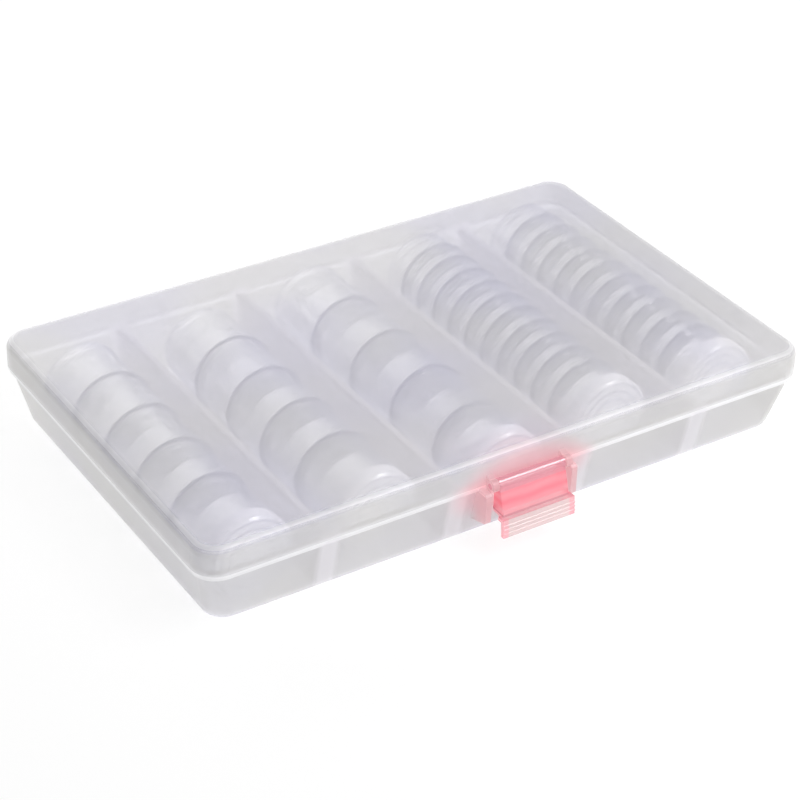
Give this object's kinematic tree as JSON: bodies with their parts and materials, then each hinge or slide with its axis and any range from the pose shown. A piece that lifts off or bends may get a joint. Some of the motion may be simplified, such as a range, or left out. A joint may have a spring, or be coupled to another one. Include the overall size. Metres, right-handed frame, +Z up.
{
  "type": "bead storage case",
  "caption": "Flat hinged clear plastic case with a coloured flip latch; ridged troughs hold stacks of round screw-together jars lying on their sides.",
  "frame": {"origin": "middle of the tray's flat underside, on the surface the case rests on", "axes": "+X along the long side to the right seen from the latch, +Y away from the latch towards the hinges, +Z up"},
  "size_m": [0.275, 0.1915, 0.0385],
  "materials": {
    "case_plastic": "frosted natural polypropylene, satin outside",
    "latch_plastic": "translucent pink-red moulded plastic, paler where thin",
    "jar_plastic": "clear bluish moulded plastic",
    "cap_plastic": "clear moulded plastic"
  },
  "bodies": {
    "tray": {"base_tray": "case_plastic"},
    "lid": {"lid": "case_plastic"},
    "latch": {"latch": "latch_plastic"},
    "stack_1": {"jar_1_01": "jar_plastic", "jar_1_02": "jar_plastic", "jar_1_03": "jar_plastic", "jar_1_04": "jar_plastic", "jar_1_05": "jar_plastic"},
    "cap_1": {"cap_1": "cap_plastic"},
    "stack_2": {"jar_2_01": "jar_plastic", "jar_2_02": "jar_plastic", "jar_2_03": "jar_plastic", "jar_2_04": "jar_plastic", "jar_2_05": "jar_plastic"},
    "cap_2": {"cap_2": "cap_plastic"},
    "stack_3": {"jar_3_01": "jar_plastic", "jar_3_02": "jar_plastic", "jar_3_03": "jar_plastic", "jar_3_04": "jar_plastic", "jar_3_05": "jar_plastic"},
    "cap_3": {"cap_3": "cap_plastic"},
    "stack_4": {"jar_4_01": "jar_plastic", "jar_4_02": "jar_plastic", "jar_4_03": "jar_plastic", "jar_4_04": "jar_plastic", "jar_4_05": "jar_plastic", "jar_4_06": "jar_plastic", "jar_4_07": "jar_plastic", "jar_4_08": "jar_plastic", "jar_4_09": "jar_plastic", "jar_4_10": "jar_plastic", "jar_4_11": "jar_plastic"},
    "cap_4": {"cap_4": "cap_plastic"},
    "stack_5": {"jar_5_01": "jar_plastic", "jar_5_02": "jar_plastic", "jar_5_03": "jar_plastic", "jar_5_04": "jar_plastic", "jar_5_05": "jar_plastic", "jar_5_06": "jar_plastic", "jar_5_07": "jar_plastic", "jar_5_08": "jar_plastic", "jar_5_09": "jar_plastic", "jar_5_10": "jar_plastic", "jar_5_11": "jar_plastic"},
    "cap_5": {"cap_5": "cap_plastic"}
  },
  "joints": [
    {"name": "lid_hinge", "type": "hinge", "parent": "tray", "child": "lid", "pos_m": [0, 0.09045, 0.025], "axis": [-1, 0, 0], "range_deg": [0, 180]},
    {"name": "latch_hinge", "type": "hinge", "parent": "lid", "child": "latch", "pos_m": [0, -0.09015, 0.0278], "axis": [-1, 0, 0], "range_deg": [0, 100]},
    {"name": "stack_1_roll", "type": "hinge", "parent": "tray", "child": "stack_1", "pos_m": [-0.1105, 0, 0.01905], "axis": [0, 1, 0], "continuous": true},
    {"name": "cap_1_twist", "type": "hinge", "parent": "stack_1", "child": "cap_1", "pos_m": [-0.1105, 0, 0.01905], "axis": [0, -1, 0], "range_deg": [0, 360]},
    {"name": "stack_2_roll", "type": "hinge", "parent": "tray", "child": "stack_2", "pos_m": [-0.05644, 0, 0.01905], "axis": [0, 1, 0], "continuous": true},
    {"name": "cap_2_twist", "type": "hinge", "parent": "stack_2", "child": "cap_2", "pos_m": [-0.05644, 0, 0.01905], "axis": [0, -1, 0], "range_deg": [0, 360]},
    {"name": "stack_3_roll", "type": "hinge", "parent": "tray", "child": "stack_3", "pos_m": [0, 0, 0.01905], "axis": [0, 1, 0], "continuous": true},
    {"name": "cap_3_twist", "type": "hinge", "parent": "stack_3", "child": "cap_3", "pos_m": [0, 0, 0.01905], "axis": [0, -1, 0], "range_deg": [0, 360]},
    {"name": "stack_4_roll", "type": "hinge", "parent": "tray", "child": "stack_4", "pos_m": [0.05644, 0, 0.01905], "axis": [0, 1, 0], "continuous": true},
    {"name": "cap_4_twist", "type": "hinge", "parent": "stack_4", "child": "cap_4", "pos_m": [0.05644, 0, 0.01905], "axis": [0, -1, 0], "range_deg": [0, 360]},
    {"name": "stack_5_roll", "type": "hinge", "parent": "tray", "child": "stack_5", "pos_m": [0.1105, 0, 0.01905], "axis": [0, 1, 0], "continuous": true},
    {"name": "cap_5_twist", "type": "hinge", "parent": "stack_5", "child": "cap_5", "pos_m": [0.1105, 0, 0.01905], "axis": [0, -1, 0], "range_deg": [0, 360]}
  ]
}
